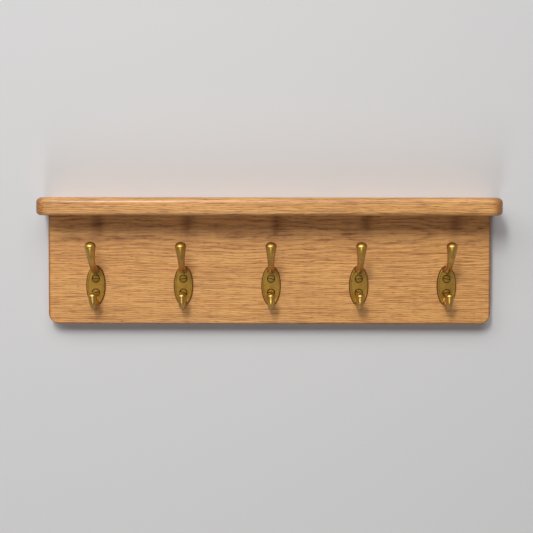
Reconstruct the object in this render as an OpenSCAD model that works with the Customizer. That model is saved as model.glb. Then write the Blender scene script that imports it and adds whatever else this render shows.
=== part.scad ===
// Wall hook rack: an oak shelf on an oak back board, with five cast brass double hooks.
// The back lies against the wall at y = 0, the front faces -Y and +Z is up.
// The origin is on the wall, midway between the entry holes of the two keyhole plates.

/* [Shelf] */
// Length of the shelf
shelf_length = 520; // [420:1:640]
// Depth of the shelf from the wall
shelf_depth = 65; // [50:0.5:80]
// Thickness of the shelf
shelf_thickness = 20; // [16:0.5:25]
// Radius of the shelf's front corners, seen from above
shelf_corner = 14; // [9:0.5:20]
// Roundover along the shelf's upper edge
shelf_upper_round = 6; // [2:0.5:8]
// Roundover along the shelf's lower edge
shelf_lower_round = 5; // [2:0.5:7]

/* [Back board] */
// How far the shelf reaches past each end of the back board
end_overhang = 7.5; // [0:0.5:20]
// Height of the back board below the shelf
board_height = 125; // [104:1:160]
// Thickness of the back board
board_thickness = 20; // [16:0.5:26]
// Radius of the back board's lower corners, seen from the front
board_corner = 12; // [6:0.5:20]
// Roundover along the back board's front edges
board_round = 2.5; // [1:0.5:5]

/* [Dowels] */
// Diameter of a dowel
dowel_d = 8; // [6:0.5:12]
// Length of a dowel
dowel_length = 30; // [22:1:36]
// How much of a dowel is in the shelf
dowel_in_shelf = 12; // [8:0.5:14]
// Chamfer on the ends of a dowel
dowel_chamfer = 1; // [0.5:0.1:1.5]
// From an end of the back board to the nearest dowel
dowel_margin = 45; // [40:1:70]
// Gap around a dowel in its hole
dowel_gap = 0.05; // [0.02:0.01:0.2]
// Gap past each end of a dowel in its hole
dowel_end_gap = 0.5; // [0.2:0.1:1]

/* [Row of hooks] */
// From an end of the back board to the nearest hook's middle
hook_margin = 52.5; // [40:0.5:80]
// How far the row is set to the right of the middle
row_offset = 2; // [-5:0.5:5]
// Height of the hooks' middle above the back board's lower edge
hook_height = 44.2; // [36:0.2:52]

/* [Hook plate] */
// Width of a hook's oval plate
plate_width = 22.3; // [18:0.1:27]
// Height of a hook's oval plate
plate_height = 46.3; // [43:0.1:56]
// Metal left behind the seat of a screw's head
seat_metal = 0.25; // [0.2:0.05:1.5]
// Width of the bevel around the rim, at the top of the oval
plate_bevel = 2.4; // [1:0.1:3]
// Height of the plate's square edge under the bevel
plate_edge = 1.6; // [0.8:0.1:1.9]
// How far the plate's field is sunk below its rim
field_sink = 0.3; // [0.1:0.1:0.5]
// Width of the flat rim between the bevel and the field, at the top of the oval
plate_rim = 0.8; // [0.4:0.1:1.5]
// Distance between the two screws of a hook
screw_spacing = 16; // [15:0.2:17]

/* [Upper arm] */
// Height of the foot's middle above the plate's middle
upper_foot_height = 17.6; // [17.4:0.1:19]
// Width of the foot
upper_foot_width = 10.2; // [8:0.1:11]
// Height of the foot
upper_foot_depth = 8.6; // [7:0.1:9]
// Thickness at the neck
upper_neck = 7.4; // [6:0.1:9]
// Diameter of the tip
upper_tip = 12.1; // [10:0.1:15]
// Length of the tip's dome
upper_dome = 3.9; // [2:0.1:6]
// Reach of the tip's rim from the plate
upper_reach = 44; // [36:0.5:54]
// Height of the tip's rim above the plate's middle
upper_rise = 47.6; // [40:0.5:58]
// Angle at which the arm leaves the plate, above level
upper_start_angle = 0; // [-15:1:15]
// Angle at which the arm ends, above level
upper_end_angle = 70; // [60:1:85]
// How long the arm keeps its first direction
upper_start_pull = 20; // [14:0.5:26]
// How long the arm takes up its last direction
upper_end_pull = 19; // [14:0.5:26]

/* [Lower arm] */
// Depth of the foot's middle below the plate's middle
lower_foot_drop = 17.6; // [17.4:0.1:19]
// Width of the foot
lower_foot_width = 9; // [7:0.1:10]
// Height of the foot
lower_foot_depth = 8; // [6:0.1:9]
// Thickness at the neck
lower_neck = 6.5; // [5:0.1:8]
// Diameter of the tip
lower_tip = 10.1; // [8:0.1:12]
// Length of the tip's dome
lower_dome = 3.4; // [2:0.1:5]
// Reach of the tip's rim from the plate
lower_reach = 25; // [21:0.5:30]
// Depth of the tip's rim below the plate's middle
lower_drop = 9.4; // [8:0.2:12]
// Angle at which the arm leaves the plate, above level
lower_start_angle = -38; // [-45:1:-30]
// Angle at which the arm ends, above level
lower_end_angle = 86; // [80:1:90]
// How long the arm keeps its first direction
lower_start_pull = 12; // [9:0.5:15]
// How long the arm takes up its last direction
lower_end_pull = 17; // [14:0.5:20]

/* [Hook screws] */
// Diameter of the shank, for a No. 8 wood screw
screw_shank = 4.2; // [3.5:0.1:4.8]
// Diameter of the countersunk head
screw_head = 8.2; // [7:0.1:8.6]
// Length of a hook screw
screw_length = 16; // [13:0.5:18]
// Height of the head's square edge
screw_edge = 0.1; // [0.1:0.1:0.4]
// How far the head lies below the plate's field
head_sink = 0.3; // [0.1:0.1:0.5]
// Width of the slot
slot_width = 1.2; // [0.8:0.1:1.6]
// Depth of the slot
slot_depth = 1.1; // [0.6:0.1:1.3]
// Distance between two turns of the thread
thread_pitch = 1.8; // [1.4:0.1:2.4]
// Depth of the thread
thread_depth = 0.55; // [0.3:0.05:0.7]
// Length of the gimlet point
point_length = 3; // [2:0.5:4]
// Share of the length that carries the thread
thread_share = 0.6; // [0.5:0.05:0.7]
// Gap around a shank in its hole
shank_gap = 0.05; // [0.02:0.01:0.3]
// Gap along the axis between a countersunk head and its seat
seat_gap = 0.05; // [0.02:0.01:0.1]

/* [Keyhole plates] */
// From an end of the back board to a keyhole plate's middle
keyhole_margin = 24.5; // [20:0.5:30]
// Depth of the entry holes below the shelf's underside
hang_drop = 45; // [40:1:55]
// Width of a keyhole plate
hanger_width = 16; // [14:0.5:20]
// Thickness of a keyhole plate
hanger_thickness = 1.6; // [1.6:0.1:2.5]
// Radius of the entry hole
entry_radius = 4.75; // [4:0.05:5.5]
// Width of the slot above the entry hole
slot_gap = 5; // [4:0.1:5.5]
// Height of the slot's upper end above the entry hole's middle
slot_rise = 11; // [8:0.5:14]
// Height of the upper fixing screw above the entry hole's middle
upper_fixing = 20; // [20:0.5:22]
// Depth of the lower fixing screw below the entry hole's middle
lower_fixing = 12; // [10:0.5:14]
// Distance from a fixing screw to the plate's end
fixing_to_end = 6; // [5:0.5:8]
// Gap around a keyhole plate in its recess
recess_gap = 0.15; // [0.05:0.05:0.5]
// Radius of the pocket for the wall screw's head
pocket_radius = 5.6; // [5.4:0.1:7]
// Depth of the pocket from the wall
pocket_depth = 9; // [7:0.5:12]
// Diameter of a fixing screw's shank
fixing_shank = 3; // [3:0.1:3.5]
// Diameter of a fixing screw's head
fixing_head = 5.6; // [5:0.1:5.8]
// Length of a fixing screw
fixing_length = 12; // [9:0.5:14]
// Width of a fixing screw's slot
fixing_slot_width = 0.8; // [0.5:0.1:1]
// Depth of a fixing screw's slot
fixing_slot_depth = 0.7; // [0.4:0.1:0.9]

/* [Colours] */
// Oiled oak
oak_colour = [0.76, 0.55, 0.34];
// Beech of the dowels
beech_colour = [0.87, 0.74, 0.56];
// Aged brass of the hooks
brass_colour = [0.58, 0.45, 0.18];
// Brighter brass of the screws
screw_colour = [0.70, 0.57, 0.28];
// Zinc-plated steel
steel_colour = [0.70, 0.72, 0.74];

/* [Hidden] */
$fn = 64;
// How far a cutting shape passes the face it cuts
overcut = 1;
hook_count = 5;
dowel_count = 4;
arm_sides = 18;
arm_steps = 20;
dome_steps = 4;
// Share of an arm's length at which it is slimmest
neck_at = 0.5;
// Share of an arm's length over which its rings turn from the plate's plane to its own direction
foot_turn = 0.25;
board_length = shelf_length - 2 * end_overhang;
board_top = hang_drop;
board_bottom = board_top - board_height;
hook_pitch = (board_length - 2 * hook_margin) / (hook_count - 1);
hook_z = board_bottom + hook_height;
dowel_pitch = (board_length - 2 * dowel_margin) / (dowel_count - 1);
dowel_in_board = dowel_length - dowel_in_shelf;
keyhole_x = board_length / 2 - keyhole_margin;
// The plate's field is as thick as the sunk screw head and the metal behind its seat
field_thickness = head_sink + screw_edge + (screw_head - screw_shank) / 2 + seat_gap + seat_metal;
plate_thickness = field_thickness + field_sink;
// The arms start inside the plate, halfway through its field
arm_root = field_thickness / 2;

// Shapes ---------------------------------------------------------------

// The quadrant outside a round corner, which cuts a roundover
module corner_cut(radius) {
    difference() {
        square(radius + overcut);
        circle(radius);
    }
}

// Section of a board's edge, from the corner's centre out
module edge_section(corner, thickness, upper, lower) {
    difference() {
        square([corner, thickness]);
        if (upper > 0) translate([corner - upper, thickness - upper]) corner_cut(upper);
        if (lower > 0) translate([corner - lower, lower]) mirror([0, 1]) corner_cut(lower);
    }
}

// Board with a square back edge at y = 0 and rounded edges at its ends and its front
module edged_slab(length, reach, thickness, corner, upper, lower) {
    half = length / 2 - corner;
    front = reach - corner;
    translate([-half, -front, 0]) cube([2 * half, front, thickness]);
    translate([half, -front, 0])
        rotate([90, 0, -90])
            linear_extrude(2 * half) edge_section(corner, thickness, upper, lower);
    for (side = [0, 1]) mirror([side, 0, 0]) {
        translate([half, 0, 0])
            rotate([90, 0, 0])
                linear_extrude(front) edge_section(corner, thickness, upper, lower);
        translate([half, -front, 0])
            rotate([0, 0, -90])
                rotate_extrude(angle = 90) edge_section(corner, thickness, upper, lower);
    }
}

// Straight bar with round ends between two heights, from its lower face up
module round_bar(low, high, radius, thickness) {
    translate([-radius, low, 0]) cube([2 * radius, high - low, thickness]);
    for (height = [low, high]) translate([0, height, 0]) cylinder(h = thickness, r = radius);
}

// Slotted countersunk wood screw, its head's face at z = 0 and its point down
module wood_screw(shank, head, length, edge, slot, slot_deep) {
    shank_r = shank / 2;
    head_r = head / 2;
    neck = edge + head_r - shank_r;
    thread_start = length * (1 - thread_share);
    turns = floor((length - point_length - thread_start) / thread_pitch);
    thread_end = thread_start + turns * thread_pitch;
    thread = [
        for (turn = [0:turns - 1], half = [0, 1])
            let (down = thread_start + (turn + half / 2) * thread_pitch)
                [shank_r - (half == 1 ? thread_depth : 0), -down]
    ];
    outline = concat(
        [[0, 0], [head_r, 0], [head_r, -edge], [shank_r, -neck]],
        thread,
        [[shank_r, -thread_end], [0, -length]]
    );
    difference() {
        rotate_extrude() polygon(outline);
        translate([-head, -slot / 2, -slot_deep]) cube([2 * head, slot, slot_deep + overcut]);
    }
}

// Hole for a countersunk screw whose head's face is at z = 0, in a plate with its face at z = sink
module countersink(shank, head, edge, sink, below) {
    narrow = shank / 2 + shank_gap;
    seat = head / 2 + edge + 2 * seat_gap;
    wide = seat + sink;
    rotate_extrude() polygon([
        [0, -below], [narrow, -below], [narrow, narrow - seat],
        [wide, sink], [wide, sink + overcut], [0, sink + overcut]
    ]);
}

// Arms -----------------------------------------------------------------

function unit(v) = v / norm(v);
function heading(angle) = [cos(angle), sin(angle)];

// The four points of an arm's curve, as [distance from the board, height]
function arm_curve(foot, reach, rise, start_angle, end_angle, start_pull, end_pull) = [
    [arm_root, foot],
    [arm_root, foot] + start_pull * heading(start_angle),
    [field_thickness + reach, rise] - end_pull * heading(end_angle),
    [field_thickness + reach, rise]
];

function along(p, t) =
    pow(1 - t, 3) * p[0] + 3 * t * pow(1 - t, 2) * p[1] + 3 * t * t * (1 - t) * p[2] + pow(t, 3) * p[3];
function direction(p, t) =
    unit(pow(1 - t, 2) * (p[1] - p[0]) + 2 * t * (1 - t) * (p[2] - p[1]) + t * t * (p[3] - p[2]));

// The way a ring faces: straight out of the plate at the foot, then along the curve
function facing(p, t) =
    let (share = min(1, t / foot_turn))
        unit((1 - share) * heading(0) + share * direction(p, t));

// Thickness along an arm: a flared foot, a slim neck and a swelling tip
function swell(t, foot, neck, tip) =
    t < neck_at ? neck + (foot - neck) * pow(1 - t / neck_at, 2)
        : neck + (tip - neck) * pow((t - neck_at) / (1 - neck_at), 2);

// One ring of an arm's skin around a point of its curve
function ring(centre, way, across, high) = [
    for (side = [0:arm_sides - 1])
        let (
            a = 360 * side / arm_sides,
            lift = high / 2 * sin(a),
            d = centre[0] - lift * way[1],
            z = centre[1] + lift * way[0]
        )
            [across / 2 * cos(a), -d, z]
];

// Arm with a flared foot and a domed tip, swept along its curve
module arm(curve, foot_width, foot_depth, neck, tip, dome) {
    stem = [
        for (step = [0:arm_steps])
            let (t = step / arm_steps)
                ring(along(curve, t), facing(curve, t),
                    swell(t, foot_width, neck, tip), swell(t, foot_depth, neck, tip))
    ];
    out = direction(curve, 1);
    cap = [
        for (step = [1:dome_steps - 1])
            let (a = 90 * step / dome_steps)
                ring(curve[3] + dome * sin(a) * out, out, tip * cos(a), tip * cos(a))
    ];
    top = curve[3] + dome * out;
    rings = concat(stem, cap);
    points = concat([for (r = rings) each r], [[0, -top[0], top[1]]]);
    last = len(rings) - 1;
    apex = len(points) - 1;
    skin = [
        for (r = [0:last - 1], side = [0:arm_sides - 1])
            let (
                next = (side + 1) % arm_sides,
                a = r * arm_sides + side,
                b = r * arm_sides + next
            )
                each [[a, b + arm_sides, b], [a, a + arm_sides, b + arm_sides]]
    ];
    root = [[for (side = [0:arm_sides - 1]) side]];
    crown = [
        for (side = [0:arm_sides - 1])
            [last * arm_sides + side, apex, last * arm_sides + (side + 1) % arm_sides]
    ];
    polyhedron(points = points, faces = concat(skin, root, crown));
}

module upper_arm() {
    curve = arm_curve(upper_foot_height, upper_reach, upper_rise,
        upper_start_angle, upper_end_angle, upper_start_pull, upper_end_pull);
    arm(curve, upper_foot_width, upper_foot_depth, upper_neck, upper_tip, upper_dome);
}

module lower_arm() {
    curve = arm_curve(-lower_foot_drop, lower_reach, -lower_drop,
        lower_start_angle, lower_end_angle, lower_start_pull, lower_end_pull);
    arm(curve, lower_foot_width, lower_foot_depth, lower_neck, lower_tip, lower_dome);
}

// Places ---------------------------------------------------------------

// A hook's own frame: on the board's face, at the middle of its plate
module at_hook(number) {
    x = row_offset + (number - (hook_count + 1) / 2) * hook_pitch;
    translate([x, -board_thickness, hook_z]) children();
}

// Where the screws of a hook go, facing the front
module at_hook_screw(number, side) {
    at_hook(number)
        translate([0, -(field_thickness - head_sink), side * screw_spacing / 2])
            rotate([90, 0, 0]) children();
}

module at_dowel(number) {
    x = (number - (dowel_count + 1) / 2) * dowel_pitch;
    translate([x, -board_thickness / 2, board_top]) children();
}

// A keyhole plate's own frame, looking at it from the wall: side is -1 at the left and 1 at the right
module at_hanger(side) {
    translate([side * keyhole_x, 0, 0]) children();
}

module at_fixing(side, height) {
    at_hanger(side) translate([0, 0, height]) rotate([-90, 0, 0]) children();
}

// Sub-parts ------------------------------------------------------------

module shelf() {
    depth = dowel_in_shelf + dowel_end_gap;
    color(oak_colour) difference() {
        translate([0, 0, board_top])
            edged_slab(shelf_length, shelf_depth, shelf_thickness,
                shelf_corner, shelf_upper_round, shelf_lower_round);
        for (number = [1:dowel_count])
            at_dowel(number)
                translate([0, 0, -overcut]) cylinder(h = depth + overcut, d = dowel_d + 2 * dowel_gap);
    }
}

// Recess, head pocket and pilot holes of a keyhole plate
module hanger_recess(side) {
    at_hanger(side) {
        translate([0, overcut, 0]) rotate([90, 0, 0])
            round_bar(-lower_fixing - fixing_to_end + hanger_width / 2,
                upper_fixing + fixing_to_end - hanger_width / 2,
                hanger_width / 2 + recess_gap, hanger_thickness + overcut);
        rotate([90, 0, 0]) round_bar(0, slot_rise, pocket_radius, pocket_depth);
    }
    for (height = [-lower_fixing, upper_fixing])
        at_fixing(side, height)
            translate([0, 0, -fixing_length - seat_gap])
                cylinder(h = fixing_length, d = fixing_shank + 2 * shank_gap);
}

module backboard() {
    depth = dowel_in_board + dowel_end_gap;
    color(oak_colour) difference() {
        translate([0, 0, board_top]) rotate([90, 0, 0])
            edged_slab(board_length, board_height, board_thickness, board_corner, board_round, 0);
        for (number = [1:dowel_count])
            at_dowel(number)
                translate([0, 0, -depth]) cylinder(h = depth + overcut, d = dowel_d + 2 * dowel_gap);
        for (number = [1:hook_count], side = [-1, 1])
            at_hook_screw(number, side)
                translate([0, 0, -screw_length - seat_gap])
                    cylinder(h = screw_length, d = screw_shank + 2 * shank_gap);
        for (side = [-1, 1]) hanger_recess(side);
    }
}

module dowel(number) {
    radius = dowel_d / 2;
    color(beech_colour)
        at_dowel(number) translate([0, 0, -dowel_in_board])
            rotate_extrude() polygon([
                [0, 0], [radius - dowel_chamfer, 0], [radius, dowel_chamfer],
                [radius, dowel_length - dowel_chamfer], [radius - dowel_chamfer, dowel_length],
                [0, dowel_length]
            ]);
}

// Oval plate with a bevelled edge, a flat rim and a sunk field
module hook_plate() {
    radius = plate_height / 2;
    rim = radius - plate_bevel;
    field = rim - plate_rim;
    rotate([90, 0, 0]) scale([plate_width / plate_height, 1, 1])
        rotate_extrude() polygon([
            [0, 0], [radius, 0], [radius, plate_edge], [rim, plate_thickness],
            [field, plate_thickness], [field - field_sink, field_thickness], [0, field_thickness]
        ]);
}

module hook(number) {
    color(brass_colour) difference() {
        at_hook(number) {
            hook_plate();
            upper_arm();
            lower_arm();
        }
        for (side = [-1, 1])
            at_hook_screw(number, side)
                countersink(screw_shank, screw_head, screw_edge, head_sink, plate_thickness + overcut);
    }
}

module hook_screw(number, side) {
    color(screw_colour)
        at_hook_screw(number, side)
            wood_screw(screw_shank, screw_head, screw_length, screw_edge, slot_width, slot_depth);
}

module keyhole_plate(side) {
    end = hanger_width / 2;
    color(steel_colour) difference() {
        at_hanger(side) rotate([90, 0, 0])
            round_bar(-lower_fixing - fixing_to_end + end, upper_fixing + fixing_to_end - end,
                end, hanger_thickness);
        at_hanger(side) translate([0, overcut, 0]) rotate([90, 0, 0]) {
            cylinder(h = hanger_thickness + 2 * overcut, r = entry_radius);
            round_bar(0, slot_rise, slot_gap / 2, hanger_thickness + 2 * overcut);
        }
        for (height = [-lower_fixing, upper_fixing])
            at_fixing(side, height)
                countersink(fixing_shank, fixing_head, 0, 0, hanger_thickness + overcut);
    }
}

module fixing_screw(side, height) {
    color(steel_colour)
        at_fixing(side, height)
            wood_screw(fixing_shank, fixing_head, fixing_length, 0, fixing_slot_width, fixing_slot_depth);
}

shelf();
backboard();
for (number = [1:dowel_count])
    dowel(number);
for (number = [1:hook_count]) {
    hook(number);
    hook_screw(number, 1);
    hook_screw(number, -1);
}
keyhole_plate(-1);  // keyhole_plate_left
keyhole_plate(1);  // keyhole_plate_right
fixing_screw(-1, upper_fixing);  // left_plate_upper_screw
fixing_screw(-1, -lower_fixing);  // left_plate_lower_screw
fixing_screw(1, upper_fixing);  // right_plate_upper_screw
fixing_screw(1, -lower_fixing);  // right_plate_lower_screw
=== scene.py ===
import bpy, bmesh, math
from mathutils import Matrix, Vector


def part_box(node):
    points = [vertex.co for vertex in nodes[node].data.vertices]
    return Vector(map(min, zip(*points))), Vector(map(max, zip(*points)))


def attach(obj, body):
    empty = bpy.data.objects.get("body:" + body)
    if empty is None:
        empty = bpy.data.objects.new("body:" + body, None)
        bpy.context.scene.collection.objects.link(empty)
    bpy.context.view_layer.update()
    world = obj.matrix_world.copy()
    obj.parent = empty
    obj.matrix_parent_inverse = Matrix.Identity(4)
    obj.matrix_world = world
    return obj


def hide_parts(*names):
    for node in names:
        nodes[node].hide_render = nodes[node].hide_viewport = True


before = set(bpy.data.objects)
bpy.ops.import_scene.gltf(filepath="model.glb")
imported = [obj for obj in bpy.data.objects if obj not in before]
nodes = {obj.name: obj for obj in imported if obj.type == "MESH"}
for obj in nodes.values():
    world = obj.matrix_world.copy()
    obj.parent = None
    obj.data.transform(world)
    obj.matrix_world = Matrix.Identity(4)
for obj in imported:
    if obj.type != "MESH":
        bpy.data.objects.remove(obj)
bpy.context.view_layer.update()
mm = 0.001
hookNumbers = range(1, 6)
print("frame loaded:", len(nodes), "nodes")


# ---- helpers for meshes ----

def newPiece(name, bm):
    mesh = bpy.data.meshes.new(name)
    bm.to_mesh(mesh)
    bm.free()
    piece = bpy.data.objects.new(name, mesh)
    bpy.context.scene.collection.objects.link(piece)
    return piece


def shadeSmooth(piece, sharpAngle):
    bm = bmesh.new()
    bm.from_mesh(piece.data)
    for face in bm.faces:
        face.smooth = True
    for edge in bm.edges:
        edge.smooth = not edge.is_manifold or edge.calc_face_angle() < sharpAngle
    bm.to_mesh(piece.data)
    bm.free()


def applyModifiers(piece):
    graph = bpy.context.evaluated_depsgraph_get()
    mesh = bpy.data.meshes.new_from_object(piece.evaluated_get(graph))
    piece.modifiers.clear()
    old = piece.data
    piece.data = mesh
    mesh.name = piece.name
    bpy.data.meshes.remove(old)


def cutFrom(piece, cutter):
    cut = piece.modifiers.new("cut", "BOOLEAN")
    cut.operation = "DIFFERENCE"
    cut.solver = "EXACT"
    cut.object = cutter
    applyModifiers(piece)
    bpy.data.objects.remove(cutter)


# ---- shader groups ----

def shaderGroup(name, inputs, outputs):
    group = bpy.data.node_groups.new(name, "ShaderNodeTree")
    for socketName, kind, value in inputs:
        socket = group.interface.new_socket(socketName, in_out="INPUT", socket_type=kind)
        if value is not None:
            socket.default_value = value
    for socketName, kind in outputs:
        group.interface.new_socket(socketName, in_out="OUTPUT", socket_type=kind)
    start = group.nodes.new("NodeGroupInput")
    end = group.nodes.new("NodeGroupOutput")
    return group, start, end


def addNode(tree, kind, **settings):
    node = tree.nodes.new(kind)
    for key, value in settings.items():
        if key in node.inputs:
            node.inputs[key].default_value = value
        else:
            setattr(node, key, value)
    return node


def maths(tree, operation, a, b=None, clamp=False):
    node = tree.nodes.new("ShaderNodeMath")
    node.operation = operation
    node.use_clamp = clamp
    for socket, value in zip(node.inputs, (a, b)):
        if isinstance(value, bpy.types.NodeSocket):
            tree.links.new(value, socket)
        elif value is not None:
            socket.default_value = value
    return node.outputs[0]


def mixColour(tree, factor, a, b, blend="MIX"):
    node = tree.nodes.new("ShaderNodeMix")
    node.data_type = "RGBA"
    node.blend_type = blend
    for key, value in ((0, factor), (6, a), (7, b)):
        if isinstance(value, bpy.types.NodeSocket):
            tree.links.new(value, node.inputs[key])
        else:
            node.inputs[key].default_value = value
    return node.outputs[2]


def remap(tree, value, fromLow, fromHigh, toLow=0.0, toHigh=1.0):
    node = tree.nodes.new("ShaderNodeMapRange")
    tree.links.new(value, node.inputs["Value"])
    node.inputs["From Min"].default_value = fromLow
    node.inputs["From Max"].default_value = fromHigh
    node.inputs["To Min"].default_value = toLow
    node.inputs["To Max"].default_value = toHigh
    return node.outputs["Result"]


def placed(tree, vector, scale, location=(0, 0, 0)):
    node = addNode(tree, "ShaderNodeMapping")
    node.inputs["Scale"].default_value = scale
    node.inputs["Location"].default_value = location
    tree.links.new(vector, node.inputs["Vector"])
    return node.outputs["Vector"]


def noise(tree, vector, scale, detail=2.0, roughness=0.5, distortion=0.0):
    node = addNode(tree, "ShaderNodeTexNoise", Scale=scale, Detail=detail, Roughness=roughness,
                   Distortion=distortion)
    tree.links.new(vector, node.inputs["Vector"])
    return node.outputs["Fac"]


def srgb(red, green, blue):
    def linear(value):
        value /= 255
        return value / 12.92 if value <= 0.04045 else ((value + 0.055) / 1.055) ** 2.4
    return (linear(red), linear(green), linear(blue), 1.0)


# ---- oak ----

oak = {
    "pale": srgb(240, 180, 106),       # the smooth late wood
    "dark": srgb(150, 90, 34),        # the streaks of early wood
    "pore": srgb(96, 52, 18),         # the open pores
    "blush": srgb(228, 160, 88),      # the pinker patches
    "ringWidth": 1.0 * mm,            # half of one year's ring
    "pithDepth": 34 * mm,             # how far behind the face the tree's middle was
    "wander": 16 * mm,                # how far the rings wander along a board
    "oiled": srgb(180, 144, 104),     # what multiplies the end grain, and the painted shade along the board's lower edge
    # how strongly that tint shows at the ends and as painted shade on the lower edge
    "oilAndShadeStrength": 0.9,
    "roughness": 0.44,
}


def makeOakGroup():
    group, start, end = shaderGroup(
        "oak grain",
        [("Vector", "NodeSocketVector", None), ("Ring width", "NodeSocketFloat", oak["ringWidth"]),
         ("Pore strength", "NodeSocketFloat", 1.0)],
        [("Colour", "NodeSocketColor"), ("Roughness", "NodeSocketFloat"), ("Height", "NodeSocketFloat")])
    along = start.outputs["Vector"]
    # slow waves bend the rings along the board
    wave = noise(group, placed(group, along, (4.0, 9.0, 7.0)), 1.0, 2.0, 0.5)
    ripple = noise(group, placed(group, along, (26.0, 60.0, 60.0)), 1.0, 2.0, 0.5)
    split = addNode(group, "ShaderNodeSeparateXYZ")
    group.links.new(along, split.inputs[0])
    depth = maths(group, "SUBTRACT", split.outputs["Y"], oak["pithDepth"])
    reach = maths(group, "SQRT", maths(group, "ADD", maths(group, "POWER", depth, 2.0),
                                       maths(group, "POWER", split.outputs["Z"], 2.0)))
    bent = maths(group, "ADD", maths(group, "MULTIPLY", maths(group, "SUBTRACT", wave, 0.5), oak["wander"]),
                 maths(group, "MULTIPLY", maths(group, "SUBTRACT", ripple, 0.5), oak["ringWidth"] * 4))
    reach = maths(group, "ADD", reach, bent)
    rings = maths(group, "DIVIDE", reach, start.outputs["Ring width"])
    early = maths(group, "POWER", maths(group, "PINGPONG", rings, 1.0), 1.8)
    # short dashes, longer streaks and fine fibres, all along the grain
    dashes = noise(group, placed(group, along, (38.0, 840.0, 840.0)), 1.0, 2.0, 0.55, 0.0)
    streak = noise(group, placed(group, along, (8.0, 360.0, 360.0)), 1.0, 3.0, 0.6)
    fibre = noise(group, placed(group, along, (60.0, 2600.0, 2600.0)), 1.0, 2.0, 0.6)
    band = noise(group, placed(group, along, (2.6, 42.0, 42.0)), 1.0, 2.0, 0.5)
    pores = noise(group, placed(group, along, (120.0, 1500.0, 1500.0)), 1.0, 1.0, 0.5)
    dashMask = remap(group, dashes, 0.50, 0.62)
    poreMask = maths(group, "MULTIPLY", remap(group, pores, 0.56, 0.66),
                     maths(group, "ADD", maths(group, "MULTIPLY", early, 0.7), 0.3))
    poreMask = maths(group, "MULTIPLY", poreMask, start.outputs["Pore strength"], True)
    dark = maths(group, "ADD", maths(group, "MULTIPLY", early, 0.36),
                 maths(group, "MULTIPLY", remap(group, streak, 0.42, 0.64), 0.36))
    dark = maths(group, "ADD", dark, maths(group, "MULTIPLY", dashMask, 0.42), True)
    colour = mixColour(group, remap(group, band, 0.4, 0.75, 0.0, 0.6), oak["pale"], oak["blush"])
    colour = mixColour(group, dark, colour, oak["dark"])
    colour = mixColour(group, remap(group, fibre, 0.45, 0.75, 0.0, 0.4), colour, oak["dark"])
    colour = mixColour(group, maths(group, "MULTIPLY", poreMask, 0.7), colour, oak["pore"])
    group.links.new(colour, end.inputs["Colour"])
    rough = maths(group, "ADD", maths(group, "MULTIPLY", poreMask, 0.25), oak["roughness"])
    group.links.new(rough, end.inputs["Roughness"])
    height = maths(group, "SUBTRACT", maths(group, "MULTIPLY", fibre, 0.3),
                   maths(group, "ADD", poreMask, maths(group, "MULTIPLY", dashMask, 0.4)))
    group.links.new(height, end.inputs["Height"])
    return group


def newMaterial(name, **constants):
    material = bpy.data.materials.new(name)
    material.use_nodes = True
    tree = material.node_tree
    shader = tree.nodes["Principled BSDF"]
    for socket, value in constants.items():
        shader.inputs[socket.replace("_", " ")].default_value = value
    place = tree.nodes.new("ShaderNodeTexCoord").outputs["Object"]
    return material, tree, shader, place


def makeOak(name, group, location, turn=(0, 0, 0), poreStrength=1.0, ends=None, foot=None):
    material, tree, shader, place = newMaterial(name, Specular_IOR_Level=0.5, Coat_Weight=0.3, Coat_Roughness=0.2)
    mapping = addNode(tree, "ShaderNodeMapping")
    mapping.inputs["Location"].default_value = location
    mapping.inputs["Rotation"].default_value = turn
    tree.links.new(place, mapping.inputs["Vector"])
    grain = addNode(tree, "ShaderNodeGroup", node_tree=group)
    grain.inputs["Pore strength"].default_value = poreStrength
    tree.links.new(mapping.outputs["Vector"], grain.inputs["Vector"])
    bump = addNode(tree, "ShaderNodeBump", Strength=0.35, Distance=0.0003)
    tree.links.new(grain.outputs["Height"], bump.inputs["Height"])
    colour = grain.outputs["Colour"]
    split = addNode(tree, "ShaderNodeSeparateXYZ")
    tree.links.new(place, split.inputs[0])
    if ends:       # end grain drinks more oil, so it is darker
        mask = remap(tree, maths(tree, "ABSOLUTE", split.outputs["X"]), ends[0], ends[1], 0.0, oak["oilAndShadeStrength"])
        colour = mixColour(tree, mask, colour, oak["oiled"], "MULTIPLY")
    if foot:       # painted shade: the board's lower rounded edge, facing down away from the light, is darkened with the same tint
        mask = remap(tree, split.outputs["Z"], foot[0], foot[1], 0.0, oak["oilAndShadeStrength"])
        colour = mixColour(tree, mask, colour, oak["oiled"], "MULTIPLY")
    tree.links.new(colour, shader.inputs["Base Color"])
    tree.links.new(grain.outputs["Roughness"], shader.inputs["Roughness"])
    tree.links.new(bump.outputs["Normal"], shader.inputs["Normal"])
    return material


# ---- brass and steel ----

brass = {
    "bright": srgb(204, 158, 60),
    "dull": srgb(168, 122, 34),
    # the dark colour of the dirt and painted shade near the wall
    "dirtAndPaintedShade": srgb(62, 42, 12),
    "edge": srgb(96, 74, 40),       # the tint of a grazing reflection
    "dirtAndShadeStartDepth": -22.3 * mm,         # dirt and painted shade start just below the plate's field, darkening the plate's edge and the screw seats nearest the wall
    "dirtAndShadeFullDepth": -21.6 * mm,
    "roughness": 0.34,
}


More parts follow.
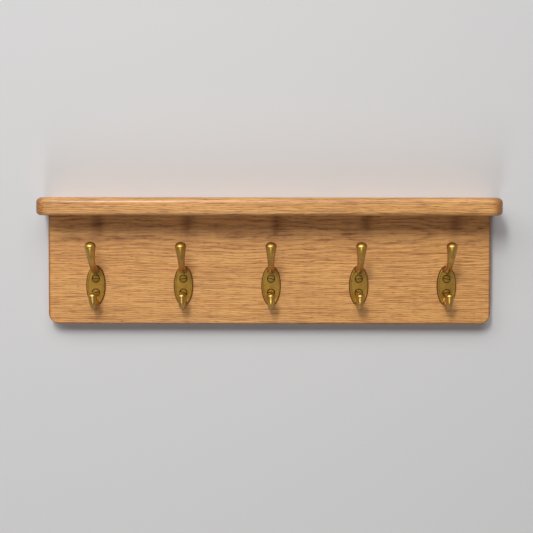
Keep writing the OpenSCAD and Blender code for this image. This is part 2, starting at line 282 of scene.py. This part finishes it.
def makeMetalGroup():
    group, start, end = shaderGroup(
        "cast metal",
        [("Vector", "NodeSocketVector", None), ("Bright", "NodeSocketColor", brass["bright"]),
         ("Dull", "NodeSocketColor", brass["dull"]), ("Smooth roughness", "NodeSocketFloat", 0.3),
         ("Sand", "NodeSocketFloat", 1.0), ("Dirt and painted shade", "NodeSocketFloat", 0.0)],
        [("Colour", "NodeSocketColor"), ("Roughness", "NodeSocketFloat"), ("Height", "NodeSocketFloat")])
    where = start.outputs["Vector"]
    cloud = noise(group, where, 90.0, 4.0, 0.65)
    sand = noise(group, where, 1500.0, 2.0, 0.6)
    fine = noise(group, where, 3600.0, 1.0, 0.5)
    split = addNode(group, "ShaderNodeSeparateXYZ")
    group.links.new(where, split.inputs[0])
    # painted shade and dirt: metal nearer the wall, at the plate's edge and in the screw seats, is darkened by depth
    deep = maths(group, "ADD", split.outputs["Y"], maths(group, "MULTIPLY", sand, 0.0004))
    dirtAndPaintedShade = remap(group, deep, brass["dirtAndShadeStartDepth"], brass["dirtAndShadeFullDepth"])
    dull = remap(group, cloud, 0.38, 0.68)
    colour = mixColour(group, dull, start.outputs["Bright"], start.outputs["Dull"])
    dirtAndPaintedShade = maths(group, "MULTIPLY", dirtAndPaintedShade, start.outputs["Dirt and painted shade"])
    colour = mixColour(group, dirtAndPaintedShade, colour, brass["dirtAndPaintedShade"])
    group.links.new(colour, end.inputs["Colour"])
    rough = maths(group, "ADD", maths(group, "MULTIPLY", dull, 0.06), start.outputs["Smooth roughness"])
    rough = maths(group, "ADD", rough, maths(group, "MULTIPLY", maths(group, "SUBTRACT", sand, 0.5), 0.12))
    group.links.new(rough, end.inputs["Roughness"])
    height = maths(group, "MULTIPLY", maths(group, "ADD", sand, maths(group, "MULTIPLY", fine, 0.5)),
                   start.outputs["Sand"])
    group.links.new(height, end.inputs["Height"])
    return group


def makeMetal(name, group, bright, dull, roughness, sand, dirtAndPaintedShade=0.0, edge=(1, 1, 1, 1), coat=0.0):
    material, tree, shader, place = newMaterial(name, Metallic=1.0, Specular_Tint=edge, Coat_Weight=coat,
                                                Coat_Roughness=0.14)
    cast = addNode(tree, "ShaderNodeGroup", node_tree=group)
    cast.inputs["Bright"].default_value = bright
    cast.inputs["Dull"].default_value = dull
    cast.inputs["Smooth roughness"].default_value = roughness
    cast.inputs["Sand"].default_value = sand
    cast.inputs["Dirt and painted shade"].default_value = dirtAndPaintedShade
    tree.links.new(place, cast.inputs["Vector"])
    bump = addNode(tree, "ShaderNodeBump", Strength=0.12, Distance=0.0002)
    tree.links.new(cast.outputs["Height"], bump.inputs["Height"])
    tree.links.new(cast.outputs["Colour"], shader.inputs["Base Color"])
    tree.links.new(cast.outputs["Roughness"], shader.inputs["Roughness"])
    tree.links.new(bump.outputs["Normal"], shader.inputs["Normal"])
    return material


oakGroup = makeOakGroup()
metalGroup = makeMetalGroup()
boardLow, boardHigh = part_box("backboard")
# the board's lower edge gets painted shade, darker towards the bottom
boardOak = makeOak("board oak", oakGroup, (0.13, 0.02, -0.022), ends=(boardHigh.x - 3 * mm, boardHigh.x - 0.5 * mm),
                   foot=(boardLow.z + 2.6 * mm, boardLow.z + 0.4 * mm))
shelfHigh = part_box("shelf")[1]
shelfOak = makeOak("shelf oak", oakGroup, (0.71, 0.06, -0.11), ends=(shelfHigh.x - 14 * mm, shelfHigh.x - 1 * mm))
beech = makeOak("beech", oakGroup, (0.3, 0.1, 0.2), (0, math.pi / 2, 0), 0.2)
# hooks and screws get the dirt and painted shade near the wall at strength 0.85
hookBrass = makeMetal("aged brass", metalGroup, brass["bright"], brass["dull"], brass["roughness"], 1.0,
                      0.85, brass["edge"], 1.0)
screwBrass = makeMetal("screw brass", metalGroup, srgb(206, 164, 84), brass["dull"], 0.28, 0.4,
                       0.85, brass["edge"])
zinc = makeMetal("zinc plate", metalGroup, srgb(190, 194, 198), srgb(160, 165, 168), 0.3, 0.3)
print("materials made")


# ---- hooks ----

hook = {
    "plateWidth": 22.3 * mm,
    "plateHeight": 46.3 * mm,
    "plateSides": 96,
    "edgeHeight": 1.2 * mm,       # the square edge under the bevel
    "rimHeight": 3.0 * mm,        # the top of the rim
    "fieldHeight": 2.45 * mm,     # the sunk field inside it
    "bevelWidth": 1.5 * mm,
    "rimWidth": 0.8 * mm,
    "seatRadius": 4.75 * mm,      # the countersink at the field
    "voxel": 0.25 * mm,
    "rounding": 2,                # smoothing passes, which leave cast fillets
}
upperArm = {
    "foot": 17.6 * mm, "reach": 43.6 * mm, "rise": 46.7 * mm,
    "startAngle": 0, "endAngle": 70, "startPull": 20 * mm, "endPull": 19 * mm,
    "footWidth": 10.2 * mm, "footDepth": 8.6 * mm, "neck": 7.4 * mm, "tip": 12.4 * mm, "dome": 4.8 * mm,
}
lowerArm = {
    "foot": -17.6 * mm, "reach": 25 * mm, "rise": -10.2 * mm,
    "startAngle": -38, "endAngle": 86, "startPull": 12 * mm, "endPull": 17 * mm,
    "footWidth": 9 * mm, "footDepth": 8 * mm, "neck": 6.5 * mm, "tip": 10.3 * mm, "dome": 4.2 * mm,
}
armSides = 40
armSteps = 44
domeSteps = 9


def heading(angle):
    return Vector((0, -math.cos(math.radians(angle)), math.sin(math.radians(angle))))


def swell(t, foot, neck, tip):
    if t < 0.5:
        return neck + (foot - neck) * (1 - 2 * t) ** 2
    return neck + (tip - neck) * (2 * t - 1) ** 2


def addArm(bm, arm):
    base = hook["fieldHeight"]
    begin = Vector((0, -base / 2, arm["foot"]))
    finish = Vector((0, -base - arm["reach"], arm["rise"]))
    points = [begin, begin + arm["startPull"] * heading(arm["startAngle"]),
              finish - arm["endPull"] * heading(arm["endAngle"]), finish]

    def along(t):
        a, b, c, d = points
        return a * (1 - t) ** 3 + b * 3 * t * (1 - t) ** 2 + c * 3 * t * t * (1 - t) + d * t ** 3

    def direction(t):
        a, b, c, d = points
        return ((b - a) * (1 - t) ** 2 + (c - b) * 2 * t * (1 - t) + (d - c) * t * t).normalized()

    def place(centre, way, across, high):
        side = Vector((1, 0, 0))
        up = way.cross(side)
        turn = Matrix((side, up, way)).transposed().to_4x4()
        return Matrix.Translation(centre) @ turn @ Matrix.Diagonal((across / 2, high / 2, 1, 1))

    places = []
    for step in range(armSteps + 1):
        t = step / armSteps
        share = min(1, t / 0.25)
        way = (heading(0) * (1 - share) + direction(t) * share).normalized()
        places.append(place(along(t), way, swell(t, arm["footWidth"], arm["neck"], arm["tip"]),
                            swell(t, arm["footDepth"], arm["neck"], arm["tip"])))
    out = direction(1)
    for step in range(1, domeSteps):
        angle = math.pi / 2 * step / domeSteps
        width = arm["tip"] * math.cos(angle)
        places.append(place(finish + out * arm["dome"] * math.sin(angle), out, width, width))
    ring = bmesh.ops.create_circle(bm, cap_ends=True, segments=armSides, radius=1, matrix=places[0])["verts"]
    edges = list({edge for vert in ring for edge in vert.link_edges})
    for before, after in zip(places, places[1:]):
        made = bmesh.ops.extrude_edge_only(bm, edges=edges)["geom"]
        ring = [item for item in made if isinstance(item, bmesh.types.BMVert)]
        edges = [item for item in made if isinstance(item, bmesh.types.BMEdge)
                 and all(vert in ring for vert in item.verts)]
        bmesh.ops.transform(bm, matrix=after @ before.inverted(), verts=ring)
    bmesh.ops.pointmerge(bm, verts=ring, merge_co=finish + out * arm["dome"])


def addPlate(bm):
    squash = Matrix.Diagonal((hook["plateWidth"] / hook["plateHeight"], 1, 1, 1))
    upright = Matrix.Rotation(math.pi / 2, 4, "X")
    made = bmesh.ops.create_circle(bm, cap_ends=True, segments=hook["plateSides"],
                                   radius=hook["plateHeight"] / 2, matrix=upright @ squash)
    face = made["verts"][0].link_faces[0]
    grown = bmesh.ops.extrude_face_region(bm, geom=[face])["geom"]
    verts = [item for item in grown if isinstance(item, bmesh.types.BMVert)]
    bmesh.ops.translate(bm, vec=(0, -hook["edgeHeight"], 0), verts=verts)
    bmesh.ops.recalc_face_normals(bm, faces=bm.faces)
    face = [item for item in grown if isinstance(item, bmesh.types.BMFace)]
    bmesh.ops.inset_region(bm, faces=face, thickness=hook["bevelWidth"],
                           depth=hook["rimHeight"] - hook["edgeHeight"])
    bmesh.ops.inset_region(bm, faces=face, thickness=hook["rimWidth"], depth=0)
    bmesh.ops.inset_region(bm, faces=face, thickness=hook["rimHeight"] - hook["fieldHeight"],
                           depth=hook["fieldHeight"] - hook["rimHeight"])


def makeHookShape():
    parts = []
    for build in (addPlate, lambda bm: addArm(bm, upperArm), lambda bm: addArm(bm, lowerArm)):
        bm = bmesh.new()
        build(bm)
        bmesh.ops.recalc_face_normals(bm, faces=bm.faces)
        parts.append(newPiece("hook part", bm))
    shape = parts[0]
    for part in parts[1:]:
        join = shape.modifiers.new("join", "BOOLEAN")
        join.operation = "UNION"
        join.solver = "EXACT"
        join.object = part
    applyModifiers(shape)
    for part in parts[1:]:
        bpy.data.objects.remove(part)
    cast = shape.modifiers.new("cast", "REMESH")
    cast.mode = "VOXEL"
    cast.voxel_size = hook["voxel"]
    soften = shape.modifiers.new("soften", "SMOOTH")
    soften.factor = 0.5
    soften.iterations = hook["rounding"]
    applyModifiers(shape)
    return shape


def seatCutter(height):
    bm = bmesh.new()
    depth = hook["fieldHeight"] + 1 * mm
    inward = Matrix.Translation((0, -hook["fieldHeight"] - 1 * mm + depth / 2, height))
    bmesh.ops.create_cone(bm, cap_ends=True, segments=64, radius1=hook["seatRadius"] + 1 * mm,
                          radius2=hook["seatRadius"] + 1 * mm - depth, depth=depth,
                          matrix=inward @ Matrix.Rotation(-math.pi / 2, 4, "X"))
    return newPiece("seat cutter", bm)


def middle(node):
    low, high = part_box(node)
    return (low + high) / 2


shape = makeHookShape()
screwRise = (middle("hook_1_upper_screw").z - middle("hook_1_lower_screw").z) / 2
for height in (-screwRise, screwRise):
    cutFrom(shape, seatCutter(height))
shadeSmooth(shape, math.radians(32))
print("hook shape:", len(shape.data.polygons), "faces")

for number in hookNumbers:
    low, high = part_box(f"hook_{number}")
    plateMiddle = (middle(f"hook_{number}_upper_screw").z + middle(f"hook_{number}_lower_screw").z) / 2
    mesh = shape.data.copy()
    mesh.transform(Matrix.Translation(((low.x + high.x) / 2, high.y, plateMiddle)))
    piece = bpy.data.objects.new(f"double_hook_{number}", mesh)
    bpy.context.scene.collection.objects.link(piece)
    mesh.materials.append(hookBrass)
    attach(piece, "root")
    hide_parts(f"hook_{number}")
bpy.data.objects.remove(shape)
print("hooks made")


# ---- hook screws ----

screw = {
    "headRadius": 3.75 * mm, "crown": 0.1 * mm, "edge": 0.35 * mm,
    "shankRadius": 2.0 * mm, "length": 15.5 * mm, "point": 3 * mm,
    "slotWidth": 0.9 * mm, "slotDepth": 1.1 * mm,
    "steps": 72,
}


def makeScrewShape():
    bm = bmesh.new()
    radius = screw["headRadius"]
    # from the crown's middle to the rim, down the cone and along the shank to the point
    profile = [(0, -screw["crown"])]
    for step in range(1, 9):
        share = step / 8
        profile.append((radius * share, -screw["crown"] * (1 - share ** 2)))
    profile += [(radius + 0.12 * mm, 0.14 * mm), (radius, screw["edge"]),
                (screw["shankRadius"], screw["edge"] + radius - screw["shankRadius"]),
                (screw["shankRadius"], screw["length"] - screw["point"]), (0, screw["length"])]
    verts = [bm.verts.new((across, deep, 0)) for across, deep in profile]
    edges = [bm.edges.new(pair) for pair in zip(verts, verts[1:])]
    bmesh.ops.spin(bm, geom=verts + edges, cent=(0, 0, 0), axis=(0, 1, 0), angle=math.tau,
                   steps=screw["steps"], use_merge=True)
    bmesh.ops.remove_doubles(bm, verts=bm.verts, dist=0.001 * mm)
    bmesh.ops.recalc_face_normals(bm, faces=bm.faces)
    shape = newPiece("screw shape", bm)
    bm = bmesh.new()
    size = Matrix.Diagonal((radius * 3, screw["slotDepth"] * 2, screw["slotWidth"], 1))
    bmesh.ops.create_cube(bm, size=1, matrix=Matrix.Translation((0, -screw["crown"], 0)) @ size)
    cutFrom(shape, newPiece("slot cutter", bm))
    shadeSmooth(shape, math.radians(35))
    return shape


screwShape = makeScrewShape()
turns = {"upper": (4, -9, 12, -3, 7), "lower": (-14, 21, 5, 33, -8)}      # each slot lies a little differently
for number in hookNumbers:
    for place in ("upper", "lower"):
        name = f"hook_{number}_{place}_screw"
        centre = middle(name)
        mesh = screwShape.data.copy()
        mesh.transform(Matrix.Translation((centre.x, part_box(name)[0].y, centre.z))
                       @ Matrix.Rotation(math.radians(turns[place][number - 1]), 4, "Y"))
        piece = bpy.data.objects.new(f"domed_screw_{number}_{place}", mesh)
        bpy.context.scene.collection.objects.link(piece)
        mesh.materials.append(screwBrass)
        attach(piece, "root")
        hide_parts(name)
bpy.data.objects.remove(screwShape)
print("hook screws made")


# ---- finishes of the kept nodes ----

def finish(name, material):
    mesh = nodes[name].data
    mesh.materials.clear()
    mesh.materials.append(material)


finish("shelf", shelfOak)
finish("backboard", boardOak)
for name in nodes:
    if name.startswith("dowel"):
        finish(name, beech)
    elif name.startswith("keyhole") or "plate" in name:
        finish(name, zinc)
print("finishes set")


# ---- wall, light and camera ----

studio = {
    "wall": srgb(212, 211, 211),
    "wallSize": 6.0,
    # power, width and height, place, and the point it faces
    "key": 325.0, "keyWidth": 8.4, "keyHeight": 4.6, "keyPlace": (-2.2, -3.9, 4.0), "keyAim": (-2.2, 0, 4.0),
    "strip": 13.0, "stripWidth": 0.55, "stripHeight": 1.6, "stripPlace": (-0.3, -1.9, -1.75), "stripAim": (0, 0, 0),
    "spark": 26.0, "sparkWidth": 0.3, "sparkHeight": 0.9, "sparkPlace": (-0.42, -2.2, 1.25), "sparkAim": (0, 0, 0),
    "rear": 34.0, "rearWidth": 2.4, "rearHeight": 2.0, "rearPlace": (0.4, 2.6, 0.5), "rearAim": (0, 0, 0),
    "sky": 0.06, "backdrop": 0.34,
}
camera = {
    "lens": 84.7, "place": (0.0032, -1.4496, 0.0731), "yaw": 0.26, "pitch": 2.0, "roll": -0.06, "shiftY": -0.061,
}


def makeWall():
    bm = bmesh.new()
    bmesh.ops.create_grid(bm, x_segments=1, y_segments=1, size=studio["wallSize"] / 2,
                          matrix=Matrix.Translation((0, 0.0002, 0)) @ Matrix.Rotation(math.pi / 2, 4, "X"))
    wall = newPiece("wall", bm)
    material, tree, shader, place = newMaterial("wall paint", Roughness=0.9, Specular_IOR_Level=0.1)
    shader.inputs["Base Color"].default_value = studio["wall"]
    # seen from behind, the wall is clear, so that the back of the rack shows and the rear lamp reaches it
    clear = addNode(tree, "ShaderNodeBsdfTransparent")
    sides = addNode(tree, "ShaderNodeMixShader")
    behind = tree.nodes.new("ShaderNodeNewGeometry").outputs["Backfacing"]
    shadowRay = tree.nodes.new("ShaderNodeLightPath").outputs["Is Shadow Ray"]
    tree.links.new(maths(tree, "MAXIMUM", behind, shadowRay), sides.inputs[0])
    tree.links.new(shader.outputs[0], sides.inputs[1])
    tree.links.new(clear.outputs[0], sides.inputs[2])
    tree.links.new(sides.outputs[0], tree.nodes["Material Output"].inputs["Surface"])
    wall.data.materials.append(material)


def makeLamp(name):
    lamp = bpy.data.lights.new(name, "AREA")
    lamp.shape = "RECTANGLE"
    lamp.energy = studio[name]
    lamp.size = studio[name + "Width"]
    lamp.size_y = studio[name + "Height"]
    holder = bpy.data.objects.new(name, lamp)
    holder.location = studio[name + "Place"]
    aim = Vector(studio[name + "Aim"]) - holder.location
    holder.rotation_euler = aim.to_track_quat("-Z", "Y").to_euler()
    bpy.context.scene.collection.objects.link(holder)
    return holder


makeWall()
makeLamp("key")
makeLamp("strip")
makeLamp("spark")
makeLamp("rear")
world = bpy.data.worlds.new("studio")
world.use_nodes = True
world.node_tree.nodes["Background"].inputs["Color"].default_value = (1, 1, 1, 1)
# the pale studio shows to the camera and in the metal, and lights the rack only a little
rays = world.node_tree.nodes.new("ShaderNodeLightPath").outputs
seen = maths(world.node_tree, "MAXIMUM", rays["Is Camera Ray"], rays["Is Glossy Ray"])
seen = maths(world.node_tree, "MAXIMUM", seen, rays["Is Transmission Ray"])
strength = remap(world.node_tree, seen, 0.0, 1.0, studio["sky"], studio["backdrop"])
world.node_tree.links.new(strength, world.node_tree.nodes["Background"].inputs["Strength"])
bpy.context.scene.world = world

lens = bpy.data.cameras.new("camera")
lens.lens = camera["lens"]
lens.sensor_width = 36
lens.shift_y = camera["shiftY"]
holder = bpy.data.objects.new("camera", lens)
holder.location = camera["place"]
holder.rotation_euler = (math.radians(90 - camera["pitch"]), math.radians(camera["roll"]), math.radians(camera["yaw"]))
bpy.context.scene.collection.objects.link(holder)
bpy.context.scene.camera = holder
bpy.context.scene.view_settings.view_transform = "Standard"
print("studio set")
